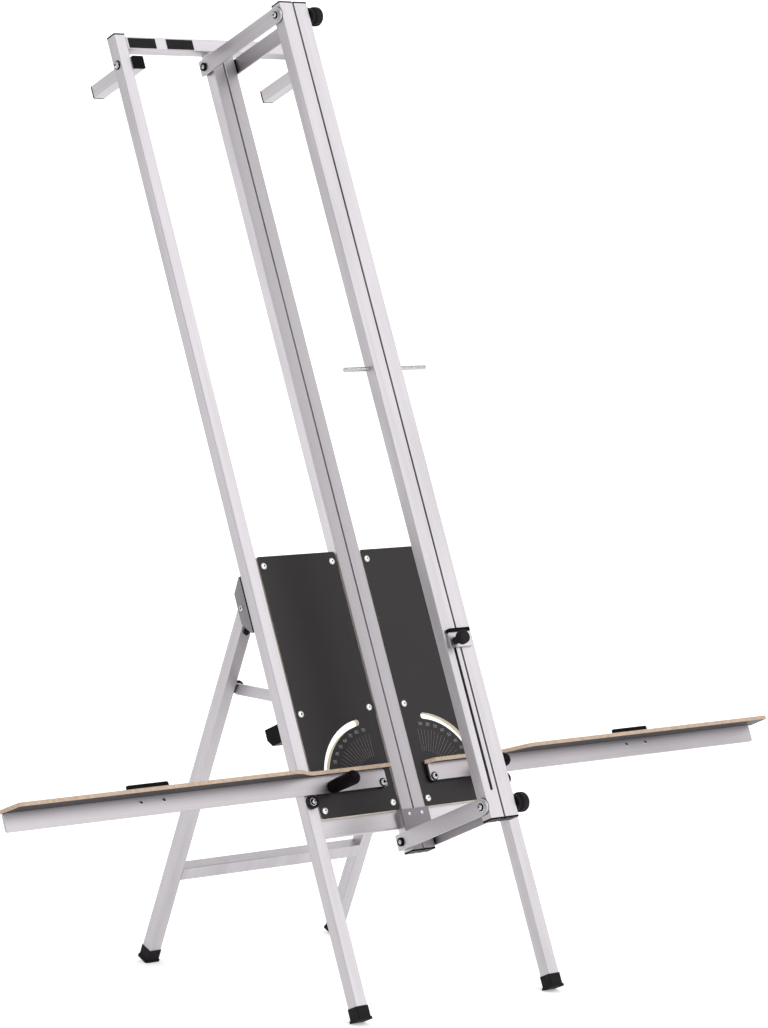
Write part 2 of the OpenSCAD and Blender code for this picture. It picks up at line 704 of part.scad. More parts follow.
module front_arm_bolts() color(steel) leaning() for (v = [low_arm_v, high_arm_v])
  translate([-arm_u - arm_t - slip, front_pivot_d, v]) rotate([0, -90, 0])
  {
    cylinder(bolt_r * 0.4, bolt_r * washer_share, bolt_r * washer_share);
    translate([0, 0, bolt_r * 0.4]) cylinder(bolt_r * 1.2, bolt_r * 1.87, bolt_r * 1.87, $fn = 6);
    translate([0, 0, -bolt_reach()]) cylinder(bolt_reach() + over, bolt_r, bolt_r);
  }
function bolt_reach() = 2 * (arm_u + arm_t) + arm_knob_l * 0.55;

module pull_rod() color(steel) leaning() x_rod(rod_u[0], rod_u[1] - rod_u[0], bolt_r, rod_d(), rod_v);

module slider_block() color(alu) leaning()
{
  front = front_out_d - gap;
  difference()
  {
    upright_plane(front - slider_t, slider_t)
      translate([(slider_u[0] + slider_u[1]) / 2, slider_v + slider_h / 2])
        round_rect(slider_u[1] - slider_u[0], slider_h, slider_corner);
    y_rod(knob_u, stem_v(), front - slider_t - over, slider_t + 2 * over, small_r + run);
  }
  difference()
  {
    y_rod(knob_u, stem_v(), front_out_d + tube_wall + gap, slider_nut_t, small_r * 2.2);
    y_rod(knob_u, stem_v(), front_out_d, tube, small_r + run);
  }
}
function stem_v() = slider_v + slider_h * 0.444;

module slider_strip() color(black) leaning()
  upright_plane(front_out_d - gap - slider_t - strip_reach, slider_t + strip_reach)
    translate([(slider_u[0] + slider_u[1]) / 2, slider_v + slider_h + strip_h / 2])
      round_rect(slider_u[1] - slider_u[0] + 2 * strip_side, strip_h, strip_corner);

module slider_knob() color(black) leaning()
  translate([knob_u, front_out_d - gap - slider_t - slip, stem_v()]) rotate([90, 0, 0])
  {
    translate([0, 0, -slider_t - tube * half]) cylinder(slider_t + tube * half + over, small_r, small_r);
    round_knob(slider_knob_d, slider_knob_l, neck_shares);
  }

// Knob along +Z from z = 0; its outline is given as shares of its radius and length
neck_shares = [[0.56, 0], [0.5, 0.46], [0.86, 0.5], [1, 0.56]];
foot_shares = [[0.62, 0], [0.62, 0.25], [0.94, 0.38], [1, 0.46]];
wide_shares = [[0.86, 0], [0.95, 0.06], [1, 0.16]];
dome_shares = [[1, 0.82], [0.92, 0.93], [0.7, 0.98], [0, 1]];
module round_knob(d, h, base_shares) rotate_extrude() polygon(concat(
  [[0, 0]], [for (p = concat(base_shares, dome_shares)) [p[0] * d / 2, p[1] * h]]
));

module arm_knob(v) color(black) leaning() difference()
{
  translate([arm_u + arm_t + slip, front_pivot_d, v]) rotate([0, 90, 0])
    round_knob(arm_knob_d, arm_knob_l, wide_shares);
  x_rod(0, bolt_reach() - arm_u - arm_t + over, bolt_r + run, front_pivot_d, v);
}
module top_arm_knob() arm_knob(high_arm_v);
module bottom_arm_knob() arm_knob(low_arm_v);

// Rear legs
module leg() difference()
{
  union()
  {
    translate([leg_mid_u, 0, -leg_l + sole_t]) linear_extrude(leg_l - sole_t) round_rect(tube, tube, tube_r);
    side_plane(leg_in_u, tube) circle(tube / 2);
  }
  translate([leg_in_u + tube_wall, -tube / 2 + tube_wall, -leg_l])
    cube([tube - 2 * tube_wall, tube - 2 * tube_wall, leg_l + tube]);
  x_rod(leg_in_u - over, tube + 2 * over, leg_pin_r + run, 0, 0);
  x_rod(leg_in_u - over, tube_wall + 2 * over, bolt_r + run, 0, -stud_s);
}
module left_rear_leg() color(alu) on_leg() mirror([1, 0, 0]) leg();
module right_rear_leg() color(alu) on_leg() leg();

module rear_crossbar() color(alu) on_leg() translate([-leg_in_u, 0, -cross_s]) rotate([0, 90, 0])
  tube_bar(leg_in_u * 2, tube, tube);

module rear_feet() color(black) difference()
{
  on_leg() both_sides() translate([leg_mid_u, 0, -leg_l]) foot();
  translate([-frame_w, leg_y, -tube * 2]) cube([frame_w * 2, leg_l, tube * 2]);
}

module leg_bumpers() color(black) on_leg() both_sides()
{
  y_rod(leg_mid_u, -bumper_s, -tube / 2 - bumper_t, bumper_t, bumper_r);
  difference()
  {
    x_rod(leg_in_u - stay_washer, stay_washer, bolt_r * 2, 0, -stud_s);
    x_rod(leg_in_u - stay_washer - over, stay_washer + 2 * over, bolt_r + run, 0, -stud_s);
  }
}

module stay_studs() color(steel) on_leg() both_sides()
{
  stud_u = stay_u - stay_t - gap - stud_reach;
  x_rod(leg_in_u + tube_wall, stud_head_t, bolt_r * 1.6, 0, -stud_s);
  x_rod(stud_u, leg_in_u - stud_u + tube_wall + over, bolt_r, 0, -stud_s);
}

// Stay: level flat bar, its outer end open to a slanting slot that lifts off the stud
module stay() difference()
{
  length = stud_y - stay_y;
  translate([0, stay_y, stud_z]) side_plane(stay_u - stay_t, stay_t) difference()
  {
    union()
    {
      circle(stay_h / 2);
      translate([0, -stay_h / 2]) square([length + stay_end - stay_corner, stay_h]);
      translate([0, -stay_h / 2 + stay_corner]) square([length + stay_end, stay_h - 2 * stay_corner]);
      for (s = [-1, 1]) translate([length + stay_end - stay_corner, s * (stay_h / 2 - stay_corner)])
        circle(stay_corner);
    }
    circle(pin_r + run);
    translate([length, 0]) rotate([0, 0, -33.5])
    {
      circle(bolt_r + half);
      translate([-bolt_r - half, -stay_h]) square([2 * (bolt_r + half), stay_h]);
    }
  }
}
module left_stay() color(alu) mirror([1, 0, 0]) stay();
module right_stay() color(alu) stay();

module stay_knob() on_leg() difference()
{
  translate([stay_u - stay_t - gap, 0, -stud_s]) rotate([0, -90, 0])
    round_knob(stay_knob_d, stay_knob_l, foot_shares);
  x_rod(stay_u - stay_t - gap - stay_knob_bore, stay_knob_bore + over, bolt_r + run, 0, -stud_s);
}
module left_stay_knob() color(black) mirror([1, 0, 0]) stay_knob();
module right_stay_knob() color(black) stay_knob();

// Hooks that hang the stand on a scaffold tube
module hook() difference()
{
  translate([hook_in_u + tube / 2, hook_front_d, hook_v]) rotate([-90, 0, 0]) tube_bar(hook_l, tube, tube);
  x_rod(hook_in_u - over, tube + 2 * over, bolt_r + run, hook_d, hook_v);
}
module hook_caps() translate([hook_in_u + tube / 2, 0, hook_v])
{
  translate([0, hook_front_d, 0]) rotate([90, 0, 0]) short_cap();
  translate([0, hook_front_d + hook_l, 0]) rotate([-90, 0, 0]) short_cap();
}
module short_cap()
{
  linear_extrude(hook_cap_t) round_rect(tube, tube, tube_r);
  translate([0, 0, -hook_plug]) linear_extrude(hook_plug)
    square(tube - 2 * tube_wall - gap, center = true);
}
module left_hook() color(alu) leaning() mirror([1, 0, 0]) hook();
module right_hook() color(alu) leaning() hook();
module left_hook_caps() color(black) leaning() mirror([1, 0, 0]) hook_caps();
module right_hook_caps() color(black) leaning() hook_caps();

left_upright();
right_upright();
end_caps();
front_feet();
top_crossbar();
rear_rail_left();
rear_rail_right();
rail_joining_plate();
frame_screws();
left_plate();
right_plate();
plate_crossbars();
wing_buffers();
upright_bolts();
wing_pivot_bolts();
black_spacers();
rear_arm_bolts();
hinge_brackets();
leg_pivot_bolts();
stay_brackets();
leg_clips();
left_wing_bar();
left_ledge();
left_back_stop();
left_wing_fixings();
right_wing_bar();
right_ledge();
right_back_stop();
right_wing_fixings();
left_lock_handle();
right_lock_handle();
top_left_arm();
top_right_arm();
bottom_left_arm();
bottom_right_arm();
front_rail_left();
front_rail_right();
front_rail_caps();
front_arm_spacers();
front_arm_bolts();
pull_rod();
slider_block();
slider_strip();
slider_knob();
top_arm_knob();
bottom_arm_knob();
left_rear_leg();
right_rear_leg();
rear_crossbar();
rear_feet();
leg_bumpers();
stay_studs();
left_stay();
right_stay();
left_stay_knob();
right_stay_knob();
left_hook();
right_hook();
left_hook_caps();
right_hook_caps();
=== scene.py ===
"""Looks of the insulation cutting stand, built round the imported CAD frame. Metres, +Z up."""

import bpy
import numpy as np
from mathutils import Matrix


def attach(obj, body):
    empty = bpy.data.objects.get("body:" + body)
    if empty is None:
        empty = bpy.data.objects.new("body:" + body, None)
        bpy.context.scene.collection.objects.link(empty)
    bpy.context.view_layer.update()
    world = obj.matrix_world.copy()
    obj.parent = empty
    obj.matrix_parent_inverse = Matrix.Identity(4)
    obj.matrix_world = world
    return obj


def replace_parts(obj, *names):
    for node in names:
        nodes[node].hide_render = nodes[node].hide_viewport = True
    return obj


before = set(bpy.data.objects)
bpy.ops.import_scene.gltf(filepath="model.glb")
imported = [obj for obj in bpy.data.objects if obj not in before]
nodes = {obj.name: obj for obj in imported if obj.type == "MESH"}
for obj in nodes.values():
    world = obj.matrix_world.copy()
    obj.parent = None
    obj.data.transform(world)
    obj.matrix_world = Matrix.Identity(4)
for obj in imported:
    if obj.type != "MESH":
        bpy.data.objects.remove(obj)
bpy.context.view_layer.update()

# The stand's own directions: across, back from the front of the uprights, and up along them, which lean 24 degrees
LEAN = np.radians(24.0)
ACROSS = np.array([1.0, 0.0, 0.0])
BACK = np.array([0.0, np.cos(LEAN), -np.sin(LEAN)])
UP = np.array([0.0, np.sin(LEAN), np.cos(LEAN)])
SOLE = np.array([0.0, -0.384342, 0.009889])     # front corner of the uprights' soles, between them
MM = 0.001

# The rear legs' pivot, and the direction up along them
LEG_TILT = np.radians(22.25)
LEG_PIVOT = np.array([0.0, -0.030502, 0.695219])
LEG_UP = np.array([0.0, -np.sin(LEG_TILT), np.cos(LEG_TILT)])

# Places and sizes in millimetres, as the CAD has them: _U across, _D back and _V up the uprights
SIDES = (-1, 1)                                 # left and right
LABELS = ((-1, "left"), (1, "right"))
UPRIGHT_U = 240.0                               # outer face of an upright
TUBE_MID_D = 12.5                               # middle of the 25 mm tubes of the frame
PIVOT_U, PIVOT_V = 61.0, 413.5                  # pin of a wing
PLATE_FACE = 3.0                                # front face of the plates behind the uprights' face
HANDLE_U, HANDLE_V = 178.02, 415.5              # stud of a lock handle
WING_FRONT_D = -7.3                             # just before the front face of the wings' bars
ARM_LEVELS = LOW_ARM_V, HIGH_ARM_V = 305.0, 1817.0      # bolts of the arms
FRONT_BOLT_D = -220.5                           # the same bolts at the front rail
FRONT_RAIL_U = 32.5                             # outer face of the front rail
RAIL_FRONT_D = -233.0                           # front face of the front rail
KNOB_SEAT_U = 37.85                             # outer face of the right arms
SLIDER_U, SLIDER_V = -14.5, 603.1               # knob of the slider
INK_D = PLATE_FACE - 0.12                       # printed scale, just before the plates' faces
M8, M8_HOLE = 4.0, 4.05                         # radii of the bolts and of the holes in their washers


def leaning(u, d, v):
    """Metres from millimetres on the stand: u across, d back and v up the uprights. SOLE + u ACROSS + d BACK + v UP."""
    u, d, v = np.broadcast_arrays(np.asarray(u, float), np.asarray(d, float), np.asarray(v, float))
    return SOLE + MM * (u[..., None] * ACROSS + d[..., None] * BACK + v[..., None] * UP)


# Meshes from arrays
def piece(name, points, faces, body, finish, slot, smooth=True):
    """An object from an (n, 3) array of metres and a list or array of faces, riding on a body of the stand."""
    mesh = bpy.data.meshes.new(name)
    mesh.from_pydata(np.asarray(points, float).reshape(-1, 3).tolist(), [], [[int(k) for k in f] for f in faces])
    mesh.validate()
    mesh.polygons.foreach_set("use_smooth", np.full(len(mesh.polygons), smooth))
    if smooth:
        mesh.set_sharp_from_angle(angle=np.radians(38))
    mesh.materials.append(finish)
    mesh.update()
    made = bpy.data.objects.new(name, mesh)
    bpy.context.scene.collection.objects.link(made)
    if body:
        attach(made, body)
    return made


def grid_faces(rows, columns, wrap=False, loop=False):
    """Quads of a rows x columns grid of points, with point (i, j) at i columns + j.

    wrap joins the last column to the first one, and loop joins the last row to the first one."""
    row, column = np.arange(rows if loop else rows - 1), np.arange(columns if wrap else columns - 1)
    i, j = np.meshgrid(row, column, indexing="ij")
    k, m = (j + 1) % columns, (i + 1) % rows
    return np.stack([i * columns + j, i * columns + k, m * columns + k, m * columns + j], -1).reshape(-1, 4)


def merged(shapes):
    """The (points, faces) of several shapes as one."""
    points, faces, count = [], [], 0
    for some_points, some_faces in shapes:
        some_points = np.asarray(some_points).reshape(-1, 3)
        points.append(some_points)
        faces += [[count + int(k) for k in face] for face in some_faces]
        count += len(some_points)
    return np.concatenate(points), faces


def turned(profile, centre, axis, across, sides=96, flutes=0, flute_depth=0.0, ring=False):
    """A turned shape, closed at both ends, from rows (s, r, f): way along the axis, radius and share of fluting.

    Ring point at angle t: centre + s axis + r (1 - f depth (1 + cos(flutes t)) / 2) (cos t across + sin t beside).
    One point on the axis closes each end, or else the last row joins the first to a ring."""
    s, r, f = np.asarray(profile, float).T
    t = np.linspace(0, 2 * np.pi, sides, endpoint=False)
    beside = np.cross(axis, across)
    radius = r[:, None] * (1 - f[:, None] * flute_depth * (1 + np.cos(flutes * t)) / 2)
    rings = MM * (s[:, None, None] * axis
                  + radius[..., None] * (np.cos(t)[:, None] * across + np.sin(t)[:, None] * beside))
    if ring:
        return centre + rings.reshape(-1, 3), grid_faces(len(s), sides, wrap=True, loop=True).tolist()
    ends = MM * np.array([s[0], s[-1]])[:, None] * axis
    points = centre + np.concatenate([rings.reshape(-1, 3), ends])
    last = len(s) * sides
    j = np.arange(sides)
    k = (j + 1) % sides
    low = np.stack([np.full(sides, last), k, j], -1)
    high = np.stack([last - sides + j, last - sides + k, np.full(sides, last + 1)], -1)
    return points, low.tolist() + grid_faces(len(s), sides, wrap=True).tolist() + high.tolist()


def rounded(rows, steps=5):
    """A profile of rows (s, r, f, b) with each corner b mm wide turned to an arc of a few steps.

    Between the points b before and b after a corner P lies the curve (1-q)^2 A + 2 q (1-q) P + q^2 B, q from 0 to 1."""
    rows = np.asarray(rows, float)
    q = np.linspace(0, 1, steps + 1)[:, None]
    curve = []
    for n, row in enumerate(rows):
        here, b = row[:3], row[3]
        if b == 0 or n in (0, len(rows) - 1):
            curve.append(here[None])
            continue
        ways = [rows[m, :3] - here for m in (n - 1, n + 1)]
        a, c = [here + way * min(0.5, b / max(np.linalg.norm(way[:2]), 1e-6)) for way in ways]
        curve.append((1 - q) ** 2 * a + 2 * q * (1 - q) * here + q ** 2 * c)
    return np.concatenate(curve)


def slab(u0, u1, v0, v1, d0, d1, corner, steps=6):
    """A flat plate on the stand with its corners rounded: one outline at depth d0, the same at d1, and both faces.

    Outline: each corner's centre + corner (cos t, sin t), t through a quarter turn."""
    t = np.linspace(0, np.pi / 2, steps + 1)
    quarter = np.concatenate([t + k * np.pi / 2 for k in range(4)])
    cu = np.repeat([u1 - corner, u0 + corner, u0 + corner, u1 - corner], steps + 1)
    cv = np.repeat([v1 - corner, v1 - corner, v0 + corner, v0 + corner], steps + 1)
    u, v = cu + corner * np.cos(quarter), cv + corner * np.sin(quarter)
    n = len(u)
    points = np.concatenate([leaning(u, d0, v), leaning(u, d1, v)])
    faces = [list(range(n)), list(range(2 * n - 1, n - 1, -1))]
    return points, faces + grid_faces(2, n, wrap=True)[:, ::-1].tolist()


# Materials
def colour(code):
    """Linear RGBA of an sRGB hex value: c / 12.92 below 0.04045, else ((c + 0.055) / 1.055) ^ 2.4."""
    c = np.array([int(code[i:i + 2], 16) for i in (0, 2, 4)]) / 255
    return (*np.where(c < 0.04045, c / 12.92, ((c + 0.055) / 1.055) ** 2.4), 1.0)


def shade(code, factor):
    """A colour made lighter or darker by a factor, in linear light."""
    return (*np.minimum(np.array(colour(code)[:3]) * factor, 1.0), 1.0)


def add(tree, kind, inputs=None, **settings):
    """Adds one shader node, sets its settings, and links or sets its inputs by name or number."""
    made = tree.nodes.new("ShaderNode" + kind)
    for key, value in settings.items():
        setattr(made, key, value)
    for key, value in (inputs or {}).items():
        if isinstance(value, bpy.types.NodeSocket):
            tree.links.new(value, made.inputs[key])
        else:
            made.inputs[key].default_value = value
    return made


def blank(name):
    """A new material with its tree, its shader and the piece's own coordinates."""
    made = bpy.data.materials.new(name)
    made.use_nodes = True
    tree = made.node_tree
    tree.nodes.clear()
    shader = add(tree, "BsdfPrincipled")
    tree.links.new(shader.outputs[0], add(tree, "OutputMaterial").inputs[0])
    return made, tree, shader, add(tree, "TexCoord")


def finish_with(tree, shader, **sockets):
    """Links the shader's named sockets, with _ for a space."""
    for key, value in sockets.items():
        tree.links.new(value, shader.inputs[key.replace("_", " ")])


def mill_aluminium(name, turn, along, tone="c2bfc2", rough=0.46, painted_side_light=None):
    """Extruded aluminium, left as it came from the press: satin, with fine die lines along the tube.

    turn lays the coordinates level with the tubes, along is the axis (0, 1, 2) that the lines follow, and the side
    tone,
    when given, is painted light: a paler tone for faces turned to the left and right, as if they were lit more than the
    rest."""
    made, tree, shader, place = blank(name)
    level = add(tree, "VectorRotate", {"Vector": place.outputs["Object"], "Angle": turn}, rotation_type="X_AXIS")
    # Die lines are 0.1 to 0.5 mm apart; drawn 2.5 mm apart, or they would not show
    fine = [1 / 0.0025] * 3
    fine[along] = 1 / 0.9
    lines = add(tree, "VectorMath", {0: level.outputs[0], 1: fine}, operation="MULTIPLY")
    streaks = add(tree, "TexNoise", {"Vector": lines.outputs[0], "Scale": 1.0, "Detail": 3.0, "Roughness": 0.6})
    # Handling and the press's cooling leave cloudy patches, about 30 mm by 250 mm
    broad = [1 / 0.03] * 3
    broad[along] = 1 / 0.25
    patches = add(tree, "VectorMath", {0: level.outputs[0], 1: broad}, operation="MULTIPLY")
    cloud = add(tree, "TexNoise", {"Vector": patches.outputs[0], "Scale": 1.0, "Detail": 2.0})
    drawn = add(tree, "MapRange", {"Value": streaks.outputs[0], 1: 0.3, 2: 0.7})
    clouded = add(tree, "MapRange", {"Value": cloud.outputs[0], 1: 0.33, 2: 0.67})
    both = add(tree, "Mix", {0: 0.55, 2: drawn.outputs[0], 3: clouded.outputs[0]}, data_type="FLOAT")
    tint = add(tree, "Mix", {0: both.outputs[0], 6: shade(tone, 0.84), 7: shade(tone, 1.13)}, data_type="RGBA")
    # Painted light and shade: faces turned to the left and right take the paler side tone, the front faces the darker
    # tone
    if painted_side_light:
        axes = add(tree, "SeparateXYZ", {0: place.outputs["Normal"]})
        sideways = add(tree, "Math", {0: axes.outputs[0]}, operation="ABSOLUTE")
        pale = add(tree, "Mix", {0: both.outputs[0], 6: shade(painted_side_light, 0.84), 7: shade(painted_side_light, 1.13)}, data_type="RGBA")
        tint = add(tree, "Mix", {0: sideways.outputs[0], 6: tint.outputs[2], 7: pale.outputs[2]}, data_type="RGBA")
    gloss = add(tree, "MapRange", {"Value": both.outputs[0], 1: 0.0, 2: 1.0, 3: rough - 0.07, 4: rough + 0.09})
    bump = add(tree, "Bump", {"Height": streaks.outputs[0], "Strength": 0.1, "Distance": 0.0004})
    finish_with(tree, shader, Base_Color=tint.outputs[2], Roughness=gloss.outputs[0], Normal=bump.outputs[0])
    shader.inputs["Metallic"].default_value = 1.0
    return made


def film_plywood(name, thin_axis, tone, edge, veneer_mm=1.3):
    """Birch plywood under a phenolic film: charcoal, half glossy, with the veneers' lines on its cut edges.

    thin_axis is 1 where the sheet's thickness lies along the stand's depth and 2 where it lies along its height."""
    made, tree, shader, place = blank(name)
    level, facing = [add(tree, "VectorRotate", {"Vector": place.outputs[key], "Angle": float(LEAN)},
                         rotation_type="X_AXIS") for key in ("Object", "Normal")]
    axes = add(tree, "SeparateXYZ", {0: level.outputs[0]})
    out = add(tree, "SeparateXYZ", {0: facing.outputs[0]})
    flat = add(tree, "Math", {0: out.outputs[thin_axis]}, operation="ABSOLUTE")
    is_edge = add(tree, "MapRange", {"Value": flat.outputs[0], 1: 0.75, 2: 0.65, 3: 0.0, 4: 1.0})
    # Film: the paper's faint streaks run across, about 4 mm apart, with a little dust
    wide = add(tree, "VectorMath", {0: level.outputs[0], 1: (1 / 0.35, 1 / 0.004, 1 / 0.004)}, operation="MULTIPLY")
    streaks = add(tree, "TexNoise", {"Vector": wide.outputs[0], "Scale": 1.0, "Detail": 4.0, "Roughness": 0.65})
    dust = add(tree, "TexNoise", {"Vector": level.outputs[0], "Scale": 14.0, "Detail": 5.0, "Roughness": 0.7})
    mottled = add(tree, "Mix", {0: 0.35, 2: streaks.outputs[0], 3: dust.outputs[0]}, data_type="FLOAT")
    film = add(tree, "Mix", {0: mottled.outputs[0], 6: shade(tone, 0.75), 7: shade(tone, 1.3)}, data_type="RGBA")
    # Edge: thin veneers, every other one darker with its end grain showing
    bands = add(tree, "Math", {0: axes.outputs[thin_axis], 1: np.pi / (veneer_mm * MM)}, operation="MULTIPLY")
    wave = add(tree, "Math", {0: bands.outputs[0]}, operation="SINE")
    fibre = add(tree, "TexNoise", {"Vector": level.outputs[0], "Scale": 160.0, "Detail": 3.0})
    veneer = add(tree, "Math", {0: wave.outputs[0], 1: 0.24, 2: fibre.outputs[0]}, operation="MULTIPLY_ADD")
    wood = add(tree, "Mix", {0: veneer.outputs[0], 6: shade(edge, 1.18), 7: shade(edge, 0.6)}, data_type="RGBA")
    tint = add(tree, "Mix", {0: is_edge.outputs[0], 6: film.outputs[2], 7: wood.outputs[2]}, data_type="RGBA")
    gloss = add(tree, "MapRange", {"Value": is_edge.outputs[0], 1: 0.0, 2: 1.0, 3: 0.42, 4: 0.72})
    bump = add(tree, "Bump", {"Height": mottled.outputs[0], "Strength": 0.1, "Distance": 0.0004})
    finish_with(tree, shader, Base_Color=tint.outputs[2], Roughness=gloss.outputs[0], Normal=bump.outputs[0])
    shader.inputs["IOR"].default_value = 1.5
    shader.inputs["Specular IOR Level"].default_value = 0.25
    return made


def moulded(name, tone, rough, grain, depth, wear, gloss_level):
    """A moulded polymer: even colour, a fine spark-eroded grain, edges and flats a little paler with handling."""
    made, tree, shader, place = blank(name)
    spot = place.outputs["Object"]
    skin = add(tree, "TexNoise", {"Vector": spot, "Scale": 1 / grain, "Detail": 3.0, "Roughness": 0.6})
    rub = add(tree, "TexNoise", {"Vector": spot, "Scale": 30.0, "Detail": 4.0, "Roughness": 0.65})
    faded = add(tree, "MapRange", {"Value": rub.outputs[0], 1: 0.42, 2: 0.72, 3: 0.0, 4: wear})
    tint = add(tree, "Mix", {0: faded.outputs[0], 6: colour(tone), 7: shade(tone, 1 + 4 * wear)}, data_type="RGBA")
    gloss = add(tree, "MapRange", {"Value": rub.outputs[0], 1: 0.3, 2: 0.7, 3: rough - 0.08, 4: rough + 0.08})
    bump = add(tree, "Bump", {"Height": skin.outputs[0], "Strength": 0.25, "Distance": depth})
    finish_with(tree, shader, Base_Color=tint.outputs[2], Roughness=gloss.outputs[0], Normal=bump.outputs[0])
    shader.inputs["IOR"].default_value = 1.5
    shader.inputs["Specular IOR Level"].default_value = gloss_level
    return made


def zinc_plated(name, dark="a9abae", light="d6d7d7"):
    """Steel, zinc plated and passivated: bright, cool grey, with a faint cloudy spangle."""
    made, tree, shader, place = blank(name)
    cloud = add(tree, "TexNoise", {"Vector": place.outputs["Object"], "Scale": 260.0, "Detail": 3.0})
    tint = add(tree, "Mix", {0: cloud.outputs[0], 6: colour(dark), 7: colour(light)}, data_type="RGBA")
    gloss = add(tree, "MapRange", {"Value": cloud.outputs[0], 1: 0.3, 2: 0.7, 3: 0.18, 4: 0.34})
    finish_with(tree, shader, Base_Color=tint.outputs[2], Roughness=gloss.outputs[0])
    shader.inputs["Metallic"].default_value = 1.0
    return made


def printed_ink(name, tone):
    """Screen-printed grey ink on the film: matt and slightly broken where the film's grain shows through."""
    made, tree, shader, place = blank(name)
    gaps = add(tree, "TexNoise", {"Vector": place.outputs["Object"], "Scale": 420.0, "Detail": 4.0})
    tint = add(tree, "Mix", {0: gaps.outputs[0], 6: colour(tone), 7: shade(tone, 0.55)}, data_type="RGBA")
    finish_with(tree, shader, Base_Color=tint.outputs[2])
    shader.inputs["Roughness"].default_value = 0.6
    return made


lean = float(LEAN)
# Aluminium: pale satin tubes with faint lines along them; flat bars and sheets are greyer, and the rear rail is greyer
# on its front as painted shade cast by the front rail, with painted light on its sides
aluminium_up = mill_aluminium("mill_aluminium_along_frame", lean, 2)
aluminium_rail = mill_aluminium("mill_aluminium_along_rear_rail", lean, 2, "a5a2a5", painted_side_light="d4d1d4")
aluminium_across = mill_aluminium("mill_aluminium_across_frame", lean, 0)
aluminium_deep = mill_aluminium("mill_aluminium_front_to_back", lean, 1)
aluminium_leg = mill_aluminium("mill_aluminium_along_legs", -float(LEG_TILT), 2)
aluminium_stay = mill_aluminium("mill_aluminium_along_stays", 0.0, 1)
aluminium_bar = mill_aluminium("drawn_aluminium_flat_bar", lean, 0, "afabae", 0.42)
aluminium_sheet = mill_aluminium("rolled_aluminium_sheet", lean, 2, "898688", 0.48)
aluminium_dull = mill_aluminium("brushed_joining_sheet", lean, 0, "807c80", 0.5)
# Plywood: charcoal film, with light birch edges on the plates and darker ones on the ledges
plate_film = film_plywood("film_faced_plywood_plate", 1, "232021", "eadfcb")
ledge_film = film_plywood("film_faced_plywood_ledge", 2, "232021", "c8b19b", 1.0)
# Plastics and rubber: near black, from the glossy end caps to the matt knobs and soles; the glossy black also serves as
# painted shade and painted reflection round the fasteners and at the arms' ends
black_nylon_and_painted_shade = moulded("black_moulded_nylon", "0a080a", 0.4, 0.0011, 0.0002, 0.2, 0.05)
grip_nylon = moulded("matt_black_moulded_nylon", "1b181a", 0.55, 0.0013, 0.0003, 0.25, 0.12)
rubber = moulded("black_moulded_rubber", "131113", 0.66, 0.0016, 0.0004, 0.35, 0.16)
label_film = moulded("black_polyester_label", "121012", 0.36, 0.0007, 0.00005, 0.1, 0.12)
# Steel: bright screw heads, cooler bolts and washers, and a plain drawn rod
zinc = zinc_plated("zinc_plated_steel")
bright_zinc = zinc_plated("bright_zinc_screw_heads", "d2d4d6", "f2f2f0")
drawn_steel = zinc_plated("drawn_steel_rod", "b6b4b6", "cfcdcf")
# Ink: mid grey lines and numbers on the charcoal film
scale_ink = printed_ink("grey_scale_ink", "989698")

finishes = {
    aluminium_up: ["left_upright", "right_upright", "front_rail_left", "front_rail_right", "slider_block"],
    aluminium_rail: ["rear_rail_left", "rear_rail_right"],
    aluminium_across: ["top_crossbar", "plate_crossbars"],
    aluminium_bar: ["left_wing_bar", "right_wing_bar"],
    aluminium_deep: ["top_left_arm", "top_right_arm", "bottom_left_arm", "bottom_right_arm", "left_hook", "right_hook"],
    aluminium_leg: ["left_rear_leg", "right_rear_leg", "rear_crossbar"],
    aluminium_stay: ["left_stay", "right_stay"],
    aluminium_sheet: ["hinge_brackets", "stay_brackets"],
    aluminium_dull: ["rail_joining_plate"],
    plate_film: ["left_plate", "right_plate"],
    ledge_film: ["left_ledge", "right_ledge"],
    black_nylon_and_painted_shade: ["end_caps", "black_spacers", "leg_clips", "left_back_stop", "right_back_stop", "left_lock_handle",
            "right_lock_handle", "front_rail_caps", "front_arm_spacers", "slider_strip", "left_stay_knob",
            "right_stay_knob", "left_hook_caps", "right_hook_caps"],
    grip_nylon: ["slider_knob", "top_arm_knob", "bottom_arm_knob"],
    rubber: ["front_feet", "rear_feet", "wing_buffers", "leg_bumpers"],
    zinc: ["upright_bolts", "wing_pivot_bolts", "rear_arm_bolts", "leg_pivot_bolts", "left_wing_fixings",
           "right_wing_fixings", "front_arm_bolts", "stay_studs"],
    bright_zinc: ["frame_screws"],
    drawn_steel: ["pull_rod"],
}
for finish, names in finishes.items():
    for name in names:
        nodes[name].data.materials.clear()
        nodes[name].data.materials.append(finish)


# Knobs and handles
def stand_in(node, points, faces, body, finish=black_nylon_and_painted_shade, slot="black_plastic"):
    """A moulded grip that takes the place of the plain solid of the same name."""
    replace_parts(piece(node + "_moulding", points, faces, body, finish, slot), node)


# Profiles of the grips. Rows: way along the axis, radius, share of fluting, width of the rounded corner
arm_knob_profile = rounded([
    (0.2, 0, 0, 0), (0.2, 15.4, 0, 0.8), (2.6, 15.2, 0, 0.8), (4.0, 13.8, 0, 0.8), (9.2, 13.8, 0, 1.2),
    (10.4, 17.2, 0.1, 0.8), (12.0, 18.0, 1, 1.0),
    (22.5, 18.0, 1, 2.5), (25.9, 14.8, 0, 2.5), (26.8, 8.5, 0, 3.0), (27.0, 0, 0, 0)])
for node, body, height in (("top_arm_knob", "top_knob", HIGH_ARM_V), ("bottom_arm_knob", "bottom_knob", LOW_ARM_V)):
    centre = leaning(KNOB_SEAT_U, FRONT_BOLT_D, height)
    shape = turned(arm_knob_profile, centre, ACROSS, UP, sides=192, flutes=24, flute_depth=0.05)
    stand_in(node, *shape, body, grip_nylon)

